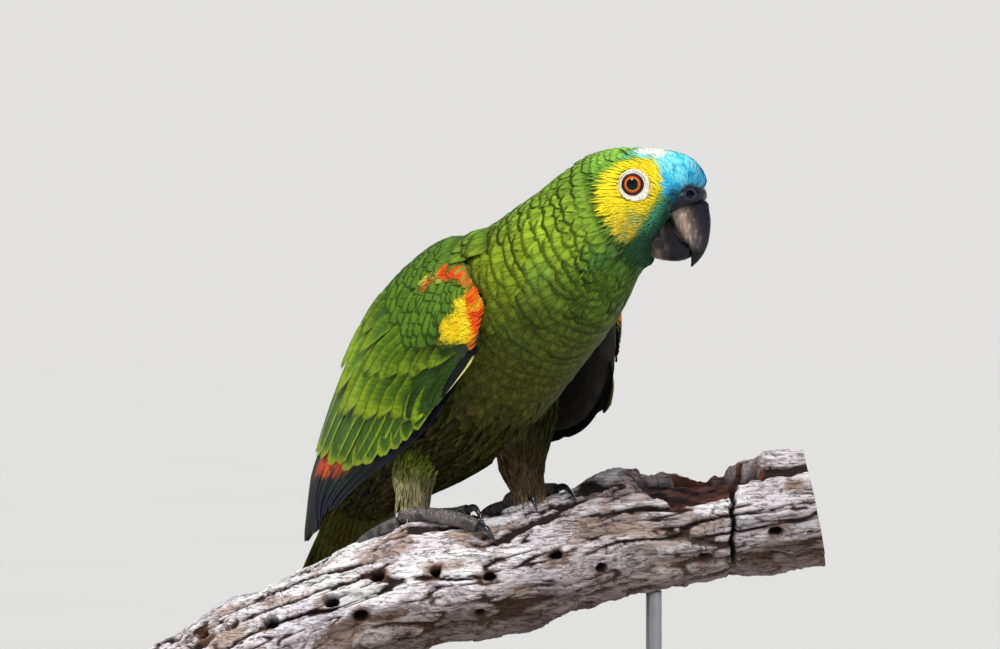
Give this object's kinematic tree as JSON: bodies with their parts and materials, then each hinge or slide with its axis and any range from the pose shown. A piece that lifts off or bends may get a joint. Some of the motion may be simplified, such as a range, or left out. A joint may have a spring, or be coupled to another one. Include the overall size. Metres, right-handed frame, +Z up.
{
  "type": "turquoise-fronted amazon parrot model",
  "caption": "Life-size still model of a green amazon parrot with a blue forehead and yellow face, gripping a cut branch held by a plain display stand.",
  "frame": {"origin": "centre of the underside of the stand's base, on the floor", "axes": "+X along the branch towards the side the bird looks to, +Y away from the side the bird's breast faces, +Z up"},
  "size_m": [0.3418, 0.2229, 0.3236],
  "materials": {
    "body_feathers": "soft green feathers",
    "neck_feathers": "soft yellow-green feathers with dark edges",
    "head_feathers": "short feathers, blue forehead, yellow face",
    "wing_feathers": "smooth green flight feathers",
    "tail_feathers": "smooth olive and green feathers",
    "cere_skin": "bare blue-black skin",
    "bill_horn": "polished slate-black horn",
    "eye": "wet and clear over an orange iris",
    "leg_skin": "grey scaly skin",
    "claw_horn": "black horn",
    "bark": "weathered, grooved dry wood",
    "stand_wood": "dark satin wood",
    "stand_metal": "brushed steel rod"
  },
  "bodies": {
    "root": {"stand_base": "stand_wood", "stand_rod_left": "stand_metal", "stand_rod_right": "stand_metal", "perch": "bark", "torso": "body_feathers", "neck": "neck_feathers", "head": "head_feathers", "cere": "cere_skin", "bill_upper": "bill_horn", "bill_lower": "bill_horn", "eye_right": "eye", "eye_left": "eye", "wing_right": "wing_feathers", "wing_left": "wing_feathers", "tail": "tail_feathers", "thigh_right": "body_feathers", "shank_right": "leg_skin", "toe_right_inner": "leg_skin", "claw_right_inner": "claw_horn", "toe_right_outer": "leg_skin", "claw_right_outer": "claw_horn", "toe_right_hind": "leg_skin", "claw_right_hind": "claw_horn", "toe_right_hindOuter": "leg_skin", "claw_right_hindOuter": "claw_horn", "thigh_left": "body_feathers", "shank_left": "leg_skin", "toe_left_inner": "leg_skin", "claw_left_inner": "claw_horn", "toe_left_outer": "leg_skin", "claw_left_outer": "claw_horn", "toe_left_hind": "leg_skin", "claw_left_hind": "claw_horn", "toe_left_hindOuter": "leg_skin", "claw_left_hindOuter": "claw_horn"}
  },
  "joints": []
}
